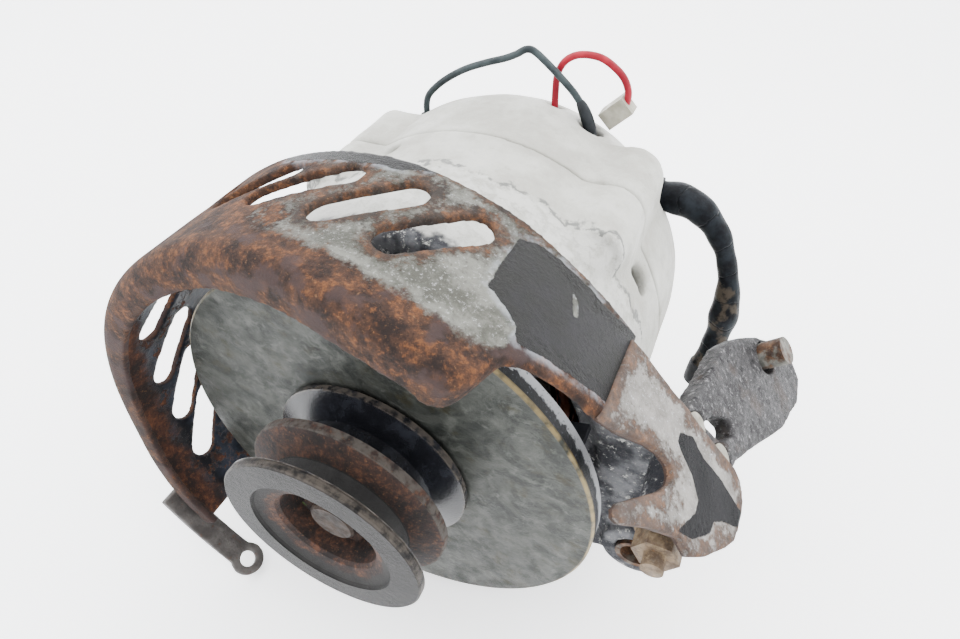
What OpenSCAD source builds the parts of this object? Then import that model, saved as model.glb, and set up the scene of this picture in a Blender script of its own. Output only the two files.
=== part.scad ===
// Car alternator with an external fan, a twin V-belt pulley and a strap belt guard.
// The shaft lies along Y. The pulley's front face is at y = 0 and the shaft axis is the Y axis.

/* [Pulley] */
// Outer radius of the pulley's three rims
pulley_r = 35; // [32:0.5:38]
// Centre distance between the two V grooves
groove_pitch = 15.2; // [14.5:0.1:15.5]
// Width of a groove at the rim
groove_top = 12.3; // [11.5:0.1:12.8]
// Width of a groove at its floor
groove_floor = 5.5; // [4:0.5:7]
// Depth of a groove
groove_depth = 10.5; // [9:0.5:11.5]

/* [Fan] */
// Outer radius of the fan's front disc
fan_r = 76.3; // [70:0.1:78]
// Number of fan blades
fan_blades_n = 12; // [8:1:16]
// Length of the fan's rolled rim along the shaft
fan_rim = 7.5; // [4:0.5:10]

/* [Housing] */
// Outer radius of both brackets
case_r = 74.5; // [74:0.1:76]
// Where the two brackets meet
seam_y = 128; // [126:1:132]
// Rear end of the housing
case_end = 188; // [186:1:192]
// Angle of the first through bolt above +X
bolt_angle = 48; // [45:1:52]

/* [Guard] */
// Outer radius of the guard strap
guard_r = 97; // [95:0.5:99]
// Sheet thickness of the guard and the arm plate
sheet = 3; // [2.5:0.5:3.5]
// Front edge of the guard
guard_front = 9; // [8:0.5:12]
// Rear edge of the guard
guard_rear = 62; // [60:0.5:64]
// Number of slots in the guard
slots_n = 10; // [6:1:10]
// Angle between slots
slot_pitch = 13; // [12:0.1:13.4]

/* [Electrics] */
// Radius of the slip rings
ring_r = 14; // [13:0.5:15]
// Height of a new brush
brush_h = 12; // [10:0.5:12]
// Diameter of the taped harness
harness_d = 11; // [9:0.5:12]
// Diameter of the two short leads
lead_d = 2.8; // [2:0.1:3]

/* [Hidden] */

$fn = 96;

// shaft and its bearings
shaft_r = 8.5;
thread_r = 8;
thread_end = 6.5;
shoulder_r = 10.5;
shoulder_y = 76;
tail_r = 7.5;
shaft_end = 182;
web_front = 20;
pulley_rear = 33.1;
fan_front = 33.8;
fan_sheet = 1.8;
fan_back = 54;
front_bearing_y = 62;
front_bearing_w = 14;
front_bearing_r = 23.5;
front_ball_r = 4.3;
front_ball_pcr = 16;
rear_bearing_y = 172;
rear_bearing_w = 11;
rear_bearing_r = 17.5;
rear_ball_r = 3.1;
rear_ball_pcr = 12.2;
ball_gap = 0.05;

// pulley grooves
pulley_mid = 16.75;
groove_1 = pulley_mid - groove_pitch / 2;
groove_2 = pulley_mid + groove_pitch / 2;
rim_chamfer = 0.6;
recess_r = 17.5;
dish_r = 25;

// housing
case_front = 60;
wall = 5;
register_r = 68;
core_front = 84;
core_rear = 112;
rotor_r = 46;
core_r = 17;
stator_bore = 46.5;
dome_r = 48;
dome_y = 152;
boss_pcr = 75.5;
boss_r = 8.8;
boss_web = 8.4;
boss_front = 100;
boss_rear = 158;
vent_y = 117;

// arm plate, lug and ear, set out square to the guard's right-hand end
arm_angle = 43;
arm_p = 100;
pad_p = 85;
lug_t = 7;
guard_x = 3;
guard_start = 44;
guard_end = 217;
tongue_y = 9;
tongue_end = 231.5;
slot_start = 81.5;
stud_x = 93.2;
stud_z = 28;
tab_y = 30;
foot_x = 90;
foot_z = -34;
lug_bolt_y = 122;
lug_bolt_s = 67;

// slip rings and brushes
ring_w = 8;
ring_y = [146, 157];
brush_x = 7;
brush_y = 5;
brush_gap = 0.3;
brush_clear = 0.1;
holder_top = 40;
holder_screw_z = 41;
diode_angles = [222, 247, 293, 318];
diode_pcr = 54;
sink_posts = [205, 270, 335];
spring_turns = 5;

// routes, in round numbers
harness_route = [[50, 170, 40], [56, 170, 40], [62, 170, 40], [68, 170, 39.8], [74, 170, 38],
    [79.5, 169.5, 34.5], [84.5, 169, 29.5], [88.7, 168, 23.5], [92, 167, 16.5], [94.7, 165.5, 9],
    [96.4, 163.5, 1], [97.2, 161.5, -7], [97.3, 159.5, -15], [96.6, 157.3, -23],
    [95.4, 155, -31]];
harness_tip = [[95.4, 155, -31], [94.9, 154.3, -34], [94.3, 153.6, -37], [93.5, 152.8, -41]];
black_route = [[-45, 166, 52], [-46, 166, 58], [-45, 166, 64], [-41, 166, 69], [-35, 166, 74],
    [-27, 166, 79], [-18, 166, 83], [-10, 166, 86], [-5, 166, 88.5], [-2, 166, 90.5],
    [0.5, 166, 91], [3, 166, 90], [6, 166, 88], [10, 166, 85], [15, 166, 81], [19, 166, 77.5],
    [22.5, 165.3, 74]];
sleeve_route = [[22, 165.4, 74.6], [25, 164, 71], [27.6, 162.8, 66.5], [28.8, 162.4, 62]];
red_route = [[12, 167, 64], [11.5, 167.2, 70], [10.8, 168.6, 76], [10.8, 169.4, 82], [13, 169.6, 87],
    [17, 169.8, 90], [22, 170, 91], [27.5, 170, 90.5], [32.5, 170, 88], [36.2, 170, 85],
    [38.4, 170, 81.5], [39.2, 170, 78], [38.8, 170, 73.5]];

// ---------------------------------------------------------------- helpers

// a cylinder along Y from y0 to y1
module ycyl(r, y0, y1, x = 0, z = 0, sides = 96)
    translate([x, y0, z]) rotate([-90, 0, 0]) cylinder(r = r, h = y1 - y0, $fn = sides);

// a ring along Y
module yring(r_out, r_in, y0, y1)
    difference() {
        ycyl(r_out, y0, y1);
        ycyl(r_in, y0 - 1, y1 + 1);
    }

// a profile of [radius, y] points turned about the shaft
module turned(points)
    rotate([-90, 0, 0]) rotate_extrude() polygon(points);

// the same, from one angle above +X to another
module turned_arc(points, from, to)
    rotate([-90, 0, 0]) rotate([0, 0, -to]) rotate_extrude(angle = to - from) polygon(points);

// children are drawn with +X turned up to the given angle
module at_angle(a)
    rotate([0, -a, 0]) children();

// an outline of [x, z] points between two stations of y
module xz_plate(y0, y1)
    translate([0, y1, 0]) rotate([90, 0, 0]) linear_extrude(y1 - y0) children();

// an outline of [y, z] points between two stations of x
module yz_plate(x0, x1)
    translate([x0, 0, 0]) rotate([90, 0, 90]) linear_extrude(x1 - x0) children();

// a hexagonal prism along Y with its size across flats
module yhex(flats, y0, y1, x = 0, z = 0)
    ycyl(flats / sqrt(3), y0, y1, x, z, 6);

function unit(v) = v / norm(v);

// a closed tube of the given diameter through a list of points
function ring_at(p, i, r, sides, up) =
    let (n = len(p))
    let (t = unit(p[min(i + 1, n - 1)] - p[max(i - 1, 0)]))
    let (u = unit(cross(up, t)))
    let (v = cross(t, u))
    [for (k = [0:sides - 1]) p[i] + r * (cos(360 * k / sides) * u + sin(360 * k / sides) * v)];

module tube(p, d, sides = 8, up = [0, 1, 0]) {
    n = len(p);
    points = [for (i = [0:n - 1]) each ring_at(p, i, d / 2, sides, up)];
    skin = [for (i = [0:n - 2]) for (k = [0:sides - 1])
        let (a = i * sides + k, b = i * sides + (k + 1) % sides)
            each [[a, b, b + sides], [a, b + sides, a + sides]]];
    first = [[for (k = [sides - 1:-1:0]) k]];
    last = [[for (k = [0:sides - 1]) (n - 1) * sides + k]];
    polyhedron(points, concat(first, skin, last));
}

// ---------------------------------------------------------------- housing

// an elliptical shoulder of [radius, y] points for the rear casting
function shoulder(r0, r1, y0, y1) =
    [for (a = [0:18:90]) [r0 + (r1 - r0) * cos(a), y0 + (y1 - y0) * sin(a)]];

module bosses(y0, y1)
    for (k = [0:3]) at_angle(bolt_angle + 90 * k) {
        ycyl(boss_r, y0, y1, boss_pcr);
        translate([boss_pcr - boss_r, y0, -boss_web]) cube([boss_r, y1 - y0, 2 * boss_web]);
    }

// the ear that carries the arm plate, the lug and the pivot foot
module ear_outline()
    difference() {
        union() {
            polygon([[56, 40], [70, 52], [95, 36], [102, 24], [101, 10], [foot_x + 12, foot_z],
                [foot_x, foot_z - 12], [foot_x - 12, foot_z - 11], [52, -54]]);
            translate([foot_x, foot_z]) circle(r = 12.5);
        }
        rotate(arm_angle) translate([pad_p, -100]) square([60, 200]);
    }

module drive_end_bracket()
    color([0.74, 0.73, 0.69]) difference() {
        union() {
            turned([[24, 59], [29.5, 59], [31, 62], [70, case_front], [case_r - 1.5, case_front],
                [case_r, case_front + 1.5], [case_r, seam_y], [register_r, seam_y],
                [register_r, core_front], [case_r - wall, core_front - 3],
                [case_r - wall, case_front + 7], [31, case_front + 7], [31, 76], [19, 76],
                [19, 59]]);
            intersection() {
                bosses(boss_front, seam_y - 0.3);
                yring(boss_pcr + 20, case_r - 3, boss_front - 1, seam_y + 1);
            }
            difference() {
                xz_plate(58, 74) ear_outline();
                ycyl(case_r - wall, 50, 90);
            }
            ycyl(8, tab_y + sheet, 58.3, stud_x, stud_z);
            ycyl(13, 55, 86, foot_x, foot_z);
        }
        ycyl(front_bearing_r, front_bearing_y, 80);
        ycyl(15, 50, 70);
        // cooling windows between eight spokes
        for (k = [0:7]) at_angle(22.5 + 45 * k)
            intersection() {
                yring(64, 36, 50, case_front + 8);
                linear_wedge(13);
            }
        // vent slots round the rim
        for (k = [0:3]) at_angle(bolt_angle - 15.7 + 90 * k) vent_slot();
        for (k = [0:3]) at_angle(bolt_angle + 90 * k) ycyl(3, boss_front + 4, seam_y + 1, boss_pcr);
        for (k = [0:2]) at_angle(90 + 120 * k) ycyl(2, 66, 77, 27);
        ycyl(3, tab_y, 51, stud_x, stud_z);
        ycyl(7, 50, 90, foot_x, foot_z);
        for (s = [41, 55]) lug_screw_hole(s, 2.5);
    }

// a block that keeps a window's sides parallel to its spokes
module linear_wedge(half)
    translate([0, 40, -half]) cube([80, 60, 2 * half]);

module vent_slot() {
    half = 5.2;
    for (side = [-1, 1])
        translate([60, vent_y, side * half]) rotate([0, 90, 0]) cylinder(r = 4, h = 30);
    translate([60, vent_y - 3.9, -half]) cube([30, 7.8, 2 * half]);
}

module dome()
    turned(concat([[0, case_end], [0, seam_y], [case_r, seam_y]],
        shoulder(dome_r, case_r, dome_y, case_end)));

module slip_ring_end_bracket()
    color([0.72, 0.72, 0.68]) difference() {
        union() {
            difference() {
                dome();
                turned(concat([[0, case_end - 5], [0, seam_y - 1], [case_r - wall, seam_y - 1]],
                    shoulder(dome_r - 2, case_r - wall, dome_y, case_end - 5)));
            }
            ycyl(23, rear_bearing_y - 3, case_end - 1);
            intersection() {
                bosses(seam_y + 0.3, boss_rear);
                yring(boss_pcr + 20, case_r - 3, seam_y - 1, boss_rear + 1);
            }
            // posts inside that carry the rectifier and the brush holder
            for (a = sink_posts) at_angle(a) ycyl(4.5, 153, case_end - 3, 44);
            for (x = [-16, 16]) ycyl(4, 169, case_end - 3, x, holder_screw_z);
        }
        ycyl(rear_bearing_r, rear_bearing_y - 4, rear_bearing_y + rear_bearing_w);
        for (k = [0:9]) at_angle(18 + 36 * k) translate([27, 170, -4]) cube([11, 40, 8]);
        for (k = [0:3]) at_angle(bolt_angle + 90 * k)
            ycyl(3, seam_y - 1, boss_rear + 10, boss_pcr);
        for (k = [0:3]) at_angle(bolt_angle + 90 * k) ycyl(5.6, boss_rear, 190, boss_pcr);
        for (x = [-16, 16]) ycyl(1.6, 167, 178, x, holder_screw_z);
        for (a = sink_posts) at_angle(a) ycyl(2, 152, 166, 44);
        // holes for the grommets and the output stud
        translate([40, 170, 40]) rotate([0, 90, 0]) cylinder(r = 8.1, h = 40);
        for (p = [[-45, 166, 52], [12, 167, 64]]) grommet_hole(p, 3.55);
        grommet_hole([28.2, 162.7, 62], 5.3);
        ycyl(5, 150, 200, -36, 30);
    }

module grommet_hole(p, r)
    translate([p[0], p[1], p[2] - 12]) cylinder(r = r, h = 30);

module stator_core()
    color([0.30, 0.29, 0.28]) difference() {
        yring(register_r, stator_bore, core_front, core_rear);
        for (k = [0:35]) at_angle(10 * k) {
            translate([stator_bore - 1, core_front - 1, -0.9]) cube([4, core_rear, 1.8]);
            translate([stator_bore + 2, core_front - 1, -2]) cube([10, core_rear, 4]);
        }
    }

module stator_windings()
    color([0.66, 0.33, 0.16]) {
        for (k = [0:35]) at_angle(10 * k)
            translate([stator_bore + 2.3, core_front - 1, -1.7])
                cube([9.4, core_rear - core_front + 2, 3.4]);
        turned(overhang(core_front, -1));
        turned(overhang(core_rear, 1));
    }

// end turns: a rounded ring that starts at the face of the core
function overhang(y, dir) =
    [for (a = [0:15:180]) [53.5 + 5.5 * cos(a), y + dir * (0.5 + 8.5 * sin(a))]];

// three phases and the star point, each run to the pin of one positive diode
module stator_leads()
    color([0.62, 0.30, 0.15])
        for (a = diode_angles) at_angle(a) ycyl(1, core_rear + 7, 132.5, diode_pcr, 0, 24);

module bearing_outer(r_out, y, w, ball_r, pcr)
    turned_ring(r_out, pcr + ball_r * 0.78, y, w, ball_r, pcr);

// a bearing ring with its ball track
module turned_ring(ra, rb, y, w, ball_r, pcr)
    rotate([-90, 0, 0]) rotate_extrude() difference() {
        translate([min(ra, rb), y]) square([abs(ra - rb), w]);
        translate([pcr, y + w / 2]) circle(r = ball_r + ball_gap);
    }

module front_bearing_outer_ring()
    color([0.60, 0.60, 0.61])
        bearing_outer(front_bearing_r, front_bearing_y, front_bearing_w, front_ball_r, front_ball_pcr);

module front_bearing_inner_ring()
    color([0.60, 0.60, 0.61]) turned_ring(shaft_r, front_ball_pcr - front_ball_r * 0.78,
        front_bearing_y, front_bearing_w, front_ball_r, front_ball_pcr);

module rear_bearing_outer_ring()
    color([0.60, 0.60, 0.61])
        bearing_outer(rear_bearing_r, rear_bearing_y, rear_bearing_w, rear_ball_r, rear_ball_pcr);

module rear_bearing_inner_ring()
    color([0.60, 0.60, 0.61]) turned_ring(tail_r, rear_ball_pcr - rear_ball_r * 0.78,
        rear_bearing_y, rear_bearing_w, rear_ball_r, rear_ball_pcr);

// balls held by a riveted cage ring
module ball_set(n, ball_r, pcr, y)
    union() {
        for (k = [0:n - 1]) at_angle(360 / n * k) translate([pcr, y, 0]) sphere(r = ball_r, $fn = 32);
        yring(pcr + 1, pcr - 1, y - 1.2, y + 1.2);
    }

module front_bearing_balls()
    color([0.70, 0.70, 0.71])
        ball_set(8, front_ball_r, front_ball_pcr, front_bearing_y + front_bearing_w / 2);

module rear_bearing_balls()
    color([0.70, 0.70, 0.71])
        ball_set(8, rear_ball_r, rear_ball_pcr, rear_bearing_y + rear_bearing_w / 2);

module bearing_retainer()
    color([0.52, 0.50, 0.46]) difference() {
        yring(30.5, 14, 76, 78.5);
        for (k = [0:2]) at_angle(90 + 120 * k) ycyl(2.2, 70, 90, 27);
    }

module retainer_screws()
    color([0.60, 0.58, 0.52]) for (k = [0:2]) at_angle(90 + 120 * k) {
        ycyl(2, 66.5, 78.6, 27);
        ycyl(3.3, 78.5, 80.2, 27);
    }

module through_bolts()
    color([0.58, 0.56, 0.51]) for (k = [0:3]) at_angle(bolt_angle + 90 * k) {
        ycyl(2.9, boss_front + 8, boss_rear + 1, boss_pcr);
        yhex(9, boss_rear, boss_rear + 4, boss_pcr);
    }

module pivot_bush()
    color([0.36, 0.33, 0.30]) translate([foot_x, 0, foot_z]) yring(7, 5.25, 54, 87);

// ---------------------------------------------------------------- electrics

module sink_outline(r_in, r_out)
    difference() {
        turned_arc([[r_in, 0], [r_out, 0], [r_out, 3], [r_in, 3]], 195, 345);
        for (a = sink_posts) at_angle(a) ycyl(2.2, -1, 4, 44);
    }

module negative_heatsink()
    color([0.66, 0.66, 0.66]) difference() {
        translate([0, 150, 0]) sink_outline(34, 64);
        for (a = diode_angles) at_angle(a) ycyl(6.4, 149, 154, diode_pcr);
    }

module positive_heatsink()
    color([0.70, 0.70, 0.70]) difference() {
        translate([0, 138, 0]) sink_outline(34, 64);
        for (a = diode_angles) at_angle(a) ycyl(6.4, 137, 142, diode_pcr);
    }

module rectifier_diodes()
    color([0.42, 0.42, 0.43]) for (y = [136, 148]) for (a = diode_angles) at_angle(a) {
        ycyl(6.4, y, y + 7, diode_pcr);
        ycyl(1, y - 3.5, y + 0.5, diode_pcr, 0, 24);
    }

module rectifier_spacers()
    color([0.35, 0.14, 0.10]) for (a = sink_posts) at_angle(a) {
        translate([44, 0, 0]) yring(4.5, 2.2, 141, 150);
        ycyl(1.9, 135, 165, 44);
        yhex(7, 135, 138, 44);
    }

module voltage_regulator()
    color([0.13, 0.13, 0.14]) union() {
        translate([-18, 146, 45.5]) cube([36, 20, 7.5]);
        for (x = [-16:4:16]) translate([x - 0.8, 147, 52.5]) cube([1.6, 18, 4.5]);
        translate([-6, 148, 41]) cube([12, 16, 5]);
    }

module brush_holder()
    color([0.24, 0.15, 0.10]) difference() {
        union() {
            translate([-8, 142, 16]) cube([16, 27, holder_top + 1 - 16]);
            translate([-22, 166, 32]) cube([44, 3, 14]);
        }
        for (y = ring_y)
            translate([-brush_x / 2 - brush_clear, y + ring_w / 2 - brush_y / 2 - brush_clear, 10])
                cube([brush_x + 2 * brush_clear, brush_y + 2 * brush_clear, holder_top - 10]);
        for (x = [-16, 16]) ycyl(2.2, 160, 175, x, holder_screw_z);
        translate([-12, 167.9, -2]) cube([24, 4, 26]);
    }

module brush_holder_screws()
    color([0.60, 0.58, 0.52]) for (x = [-16, 16]) {
        ycyl(1.6, 165, 177, x, holder_screw_z);
        ycyl(3.2, 163.2, 166, x, holder_screw_z);
    }

module output_stud()
    color([0.62, 0.58, 0.48]) union() {
        ycyl(2.7, 170, 195.3, -36, 30);
        ycyl(3, 195.3, 206, -36, 30);
        yhex(10, 170, 175, -36, 30);
    }

module output_stud_insulator()
    color([0.12, 0.12, 0.13]) difference() {
        union() {
            ycyl(5, 175, 188.2, -36, 30);
            ycyl(9, 188.2, 190, -36, 30);
        }
        ycyl(3, 170, 200, -36, 30);
    }

module output_stud_nut()
    color([0.62, 0.58, 0.48]) difference() {
        yhex(10, 190, 195, -36, 30);
        ycyl(3, 180, 200, -36, 30);
    }

module black_lead()
    color([0.20, 0.23, 0.24]) tube(black_route, lead_d);

module black_lead_sleeve()
    color([0.10, 0.11, 0.12]) tube(sleeve_route, lead_d + 2.6);

module red_lead()
    color([0.72, 0.12, 0.15]) tube(red_route, lead_d);

// rubber grommets where the leads go into the rear casting
module lead_grommets()
    color([0.12, 0.12, 0.12]) for (p = [[-45, 166, 52], [12, 167, 64]])
        translate([p[0], p[1], p[2] - 4]) difference() {
            cylinder(r = 3.5, h = 8);
            translate([0, 0, -1]) cylinder(r = lead_d / 2 - 0.1, h = 20);
        }

module lead_connector()
    color([0.80, 0.79, 0.72]) at_angle(46) difference() {
        translate([70.5, 167, 20]) cube([11.5, 7, 7.5]);
        translate([72, 169.5, 21.6]) cube([6.5, 6, 4.3]);
    }

module harness_grommet()
    color([0.10, 0.10, 0.10]) translate([50, 170, 40]) rotate([0, 90, 0])
        difference() {
            union() {
                cylinder(r = 8, h = 7);
                translate([0, 0, 7]) cylinder(r = 7, h = 2);
            }
            translate([0, 0, -1]) cylinder(r = harness_d / 2 - 0.3, h = 20);
        }

module harness()
    color([0.09, 0.10, 0.11]) tube(harness_route, harness_d, 12);

module harness_boot()
    color([0.08, 0.08, 0.09]) tube(harness_tip, harness_d + 2, 12);

// ---------------------------------------------------------------- guard, arm and lug

module fan_guard()
    color([0.45, 0.33, 0.26]) translate([guard_x, 0, 0]) difference() {
        turned_arc(guard_section(10), guard_start, guard_end);
        for (k = [0:slots_n - 1]) at_angle(slot_start + slot_pitch * k) guard_slot();
        // the lip ends in a corner short of the arm plate
        turned_arc([[guard_r - 30, -6], [guard_r + 9, -6], [guard_r + 9, 20], [guard_r - 30, 20]],
            guard_start - 3, 61.5);
    }

// strap and inward lip in section, with a bend radius between them
function guard_section(lip) =
    let (bend = 5)
    concat(
        [[guard_r - sheet, guard_rear], [guard_r, guard_rear]],
        [for (a = [0:15:90])
            [guard_r - bend + bend * cos(a), guard_front + bend - bend * sin(a)]],
        [[guard_r - lip, guard_front], [guard_r - lip, guard_front + sheet]],
        [for (a = [90:-30:0])
            [guard_r - bend + (bend - sheet) * cos(a), guard_front + bend - (bend - sheet) * sin(a)]]);

// a slanted slot with round ends
module guard_slot() {
    half = 4.8;
    run = 21;
    translate([guard_r - 20, 33, 0]) rotate([0, 90, 0]) rotate(-34) {
        cylinder(r = half, h = 40);
        translate([0, run, 0]) cylinder(r = half, h = 40);
        translate([0.1 - half, 0, 0]) cube([2 * half - 0.2, run, 40]);
    }
}

// the strap that ends in an eye below the guard
module guard_tongue()
    color([0.30, 0.29, 0.29]) translate([guard_x, 0, 0]) difference() {
        union() {
            turned_arc([[guard_r, tongue_y - 5], [guard_r + sheet, tongue_y - 5],
                [guard_r + sheet, tongue_y + 5], [guard_r, tongue_y + 5]], 206, tongue_end - 1);
            at_angle(tongue_end) translate([guard_r, tongue_y, 0]) rotate([0, 90, 0])
                cylinder(r = 6.6, h = sheet);
        }
        at_angle(tongue_end) translate([guard_r - 10, tongue_y, 0]) rotate([0, 90, 0])
            cylinder(r = 3.3, h = 30);
    }

module arm_outline()
    polygon([[26, 0.8], [54, 0.8], [54.5, -50], [53, -54], [50, -56], [44, -57], [35, -56],
            [30.5, -53], [23, -45.5], [18.8, -40], [20.3, -34.5], [15.5, -24.5], [11.5, -18.5],
            [9.6, -15], [10, -13.2],
            [11.5, -12.3], [14, -13.2], [20, -19], [26, -24.5], [30, -26.8], [32.5, -26.8],
            [34, -25], [34.4, -21.5], [33, -16], [28, -6]]);

module tab_outline()
    intersection() {
        union() {
            translate([stud_x, stud_z]) circle(r = 9);
            rotate(arm_angle) translate([82, -49]) square([arm_p - 82, 16]);
        }
        rotate(arm_angle) translate([0, -100]) square([arm_p - 1, 200]);
    }

module arm_plate()
    color([0.50, 0.42, 0.36]) difference() {
        union() {
            at_angle(arm_angle) yz_plate(arm_p - sheet, arm_p) arm_outline();
            // tab square to the shaft, for the stud
            xz_plate(tab_y, tab_y + sheet) tab_outline();
        }
        ycyl(3.3, tab_y - 1, tab_y + sheet + 1, stud_x, stud_z);
    }

module arm_stud()
    color([0.40, 0.30, 0.22]) ycyl(3, 17.5, 50, stud_x, stud_z, 48);

module arm_washer()
    color([0.46, 0.33, 0.22]) translate([stud_x, 0, stud_z]) yring(7, 3.3, tab_y - 1.8, tab_y);

module arm_nut()
    color([0.52, 0.38, 0.24]) difference() {
        yhex(11, tab_y - 8.6, tab_y - 1.8, stud_x, stud_z);
        ycyl(3, 10, tab_y, stud_x, stud_z);
    }

module lug_outline()
    difference() {
        union() {
            polygon([[58.7, -34], [68, -36], [81, -39.5], [95, -42], [103, -44], [115, -51],
                [125, -60], [134, -71], [138, -80], [138, -87], [134, -92], [123, -92],
                [104, -86], [88, -75], [68, -62], [58.7, -60]]);
        }
        // window between the two arms
        polygon([[67, -43.5], [72, -46], [78, -53], [78.5, -57.5], [75, -58.5], [68, -53.5]]);
        // clearance hole for the bolt
        translate([lug_bolt_y, -lug_bolt_s - 1]) circle(r = 6);
    }

module adjusting_lug()
    color([0.42, 0.42, 0.43]) at_angle(arm_angle) difference() {
        yz_plate(pad_p, pad_p + lug_t) lug_outline();
        for (s = [41, 55]) translate([pad_p, 63.6, -s]) rotate([0, 90, 0]) {
            translate([0, 0, -1]) cylinder(r = 2.7, h = 20);
            translate([0, 0, 4]) cylinder(r = 4.4, h = 20);
        }
    }

module lug_screw_hole(s, r)
    at_angle(arm_angle) translate([pad_p - 16, 63.6, -s]) rotate([0, 90, 0]) cylinder(r = r, h = 40);

module lug_screws()
    color([0.45, 0.38, 0.32]) at_angle(arm_angle) for (s = [41, 55]) {
        translate([pad_p - 14, 63.6, -s]) rotate([0, 90, 0]) cylinder(r = 2.5, h = 20);
        translate([pad_p + 4, 63.6, -s]) rotate([0, 90, 0]) cylinder(r = 4.3, h = 2.8);
    }

module lug_bolt()
    color([0.44, 0.34, 0.28]) at_angle(arm_angle) translate([0, lug_bolt_y, -lug_bolt_s])
        rotate([0, 90, 0]) {
            translate([0, 0, pad_p - 6]) cylinder(r = 8.7, h = 6, $fn = 6);
            translate([0, 0, pad_p - 6]) cylinder(r = 4.8, h = lug_t + 6.3);
            translate([0, 0, pad_p + lug_t + 0.3]) cylinder(r = 5, h = 7.7);
        }

// ---------------------------------------------------------------- rotor

module rotor_shaft()
    color([0.56, 0.55, 0.54]) difference() {
        turned([[0, thread_end], [thread_r - 0.8, thread_end], [thread_r, thread_end + 0.8],
            [thread_r, web_front], [shaft_r, web_front], [shaft_r, shoulder_y],
            [shoulder_r, shoulder_y], [shoulder_r, 121], [tail_r, 122], [tail_r, shaft_end - 0.6],
            [tail_r - 0.6, shaft_end], [0, shaft_end]]);
        // keyway for the pulley
        translate([shaft_r - 2.5, 21, -2]) cube([4, 11, 4]);
    }

// one pole wheel: a disc, half the core, and six tapered claws
module pole_wheel(y_root, y_tip, disc, turn) {
    dir = sign(y_tip - y_root);
    difference() {
        union() {
            ycyl(rotor_r - 12, min(y_root, y_root + dir * disc), max(y_root, y_root + dir * disc));
            ycyl(core_r, min(y_root, 99), max(y_root, 99));
            for (k = [0:5]) at_angle(turn + 60 * k) {
                intersection() {
                    yz_plate(20, rotor_r + 2) polygon([[y_root, -11.5], [y_root, 11.5],
                        [y_root + dir * disc, 11], [y_root + dir * disc, -11]]);
                    ycyl(rotor_r, 70, 130);
                }
                intersection() {
                    yz_plate(37, rotor_r + 2) polygon([[y_root, -11.5], [y_root, 11.5],
                        [y_tip, 5], [y_tip, -5]]);
                    ycyl(rotor_r, 70, 130);
                }
            }
        }
        ycyl(shoulder_r, 60, 140);
    }
}

module front_pole_wheel()
    color([0.34, 0.33, 0.33]) pole_wheel(81, 115, 9, 0);

module rear_pole_wheel()
    color([0.34, 0.33, 0.33]) pole_wheel(117, 83, 9, 30);

module coil_bobbin()
    color([0.16, 0.15, 0.14])
        turned([[core_r, 90], [33.5, 90], [33.5, 91.5], [18.5, 91.5], [18.5, 106.5],
            [33.5, 106.5], [33.5, 108], [core_r, 108]]);

module field_coil()
    color([0.60, 0.28, 0.14]) yring(33, 18.5, 91.5, 106.5);

module slip_ring_insulator()
    color([0.25, 0.13, 0.09]) turned([[tail_r, 140], [12, 140], [12, ring_y[0]],
        [12, ring_y[1] + ring_w], [12, 168.5], [tail_r, 168.5]]);

module slip_rings()
    color([0.66, 0.36, 0.20]) for (y = ring_y) yring(ring_r, 12, y, y + ring_w);

module spacer_collar()
    color([0.50, 0.49, 0.47])
        yring(14.2, shaft_r, fan_front + 2 * fan_sheet, front_bearing_y);

module fan_disc()
    color([0.52, 0.52, 0.50])
        turned([[shaft_r, fan_front], [fan_r - 0.7, fan_front], [fan_r, fan_front + 0.7],
            [fan_r, fan_front + fan_rim], [fan_r - 1.8, fan_front + fan_rim],
            [fan_r - 1.8, fan_front + fan_sheet], [shaft_r, fan_front + fan_sheet]]);

module fan_blades()
    color([0.10, 0.11, 0.13]) union() {
        turned([[shaft_r, fan_front + fan_sheet], [62, fan_front + fan_sheet],
            [62, fan_front + 2 * fan_sheet], [shaft_r, fan_front + 2 * fan_sheet]]);
        for (k = [0:fan_blades_n - 1]) at_angle(360 / fan_blades_n * k)
            intersection() {
                translate([34, fan_front + fan_sheet, 0]) rotate([0, 14, 0])
                    cube([40, fan_back - fan_front - fan_sheet, 1.8]);
                ycyl(72, 30, fan_back);
            }
    }

module pulley()
    color([0.30, 0.28, 0.27]) difference() {
        turned([[dish_r, 0], [pulley_r - rim_chamfer, 0], [pulley_r, rim_chamfer],
            [pulley_r, groove_1 - groove_top / 2],
            [pulley_r - groove_depth, groove_1 - groove_floor / 2],
            [pulley_r - groove_depth, groove_1 + groove_floor / 2],
            [pulley_r, groove_1 + groove_top / 2],
            [pulley_r, groove_2 - groove_top / 2],
            [pulley_r - groove_depth, groove_2 - groove_floor / 2],
            [pulley_r - groove_depth, groove_2 + groove_floor / 2],
            [pulley_r, groove_2 + groove_top / 2], [pulley_r, pulley_rear - rim_chamfer],
            [pulley_r - rim_chamfer, pulley_rear], [18, pulley_rear], [17.5, fan_front],
            [shaft_r, fan_front], [shaft_r, web_front], [recess_r - 1.5, web_front],
            [recess_r, web_front - 1.5], [recess_r, 4.5], [recess_r + 1, 3.2],
            [dish_r - 0.6, 1.2]]);
        translate([shaft_r - 2.5, 21, -2]) cube([4, 11, 4]);
    }

module pulley_key()
    color([0.48, 0.46, 0.44]) translate([shaft_r - 2.5, 21, -2]) cube([4, 11, 4]);

module pulley_washer()
    color([0.44, 0.34, 0.28]) yring(14, thread_r, web_front - 2.2, web_front);

module pulley_nut()
    color([0.40, 0.27, 0.21]) difference() {
        yhex(22, 9, web_front - 2.2);
        ycyl(thread_r, 0, 30);
    }

// ---------------------------------------------------------------- brushes

// a brush with its foot bedded to the ring
module brush(y)
    color([0.16, 0.15, 0.15]) difference() {
        translate([-brush_x / 2, y + ring_w / 2 - brush_y / 2, ring_r - 0.5])
            cube([brush_x, brush_y, brush_h + brush_gap + 0.5]);
        ycyl(ring_r + brush_gap, y, y + ring_w);
    }

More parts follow.
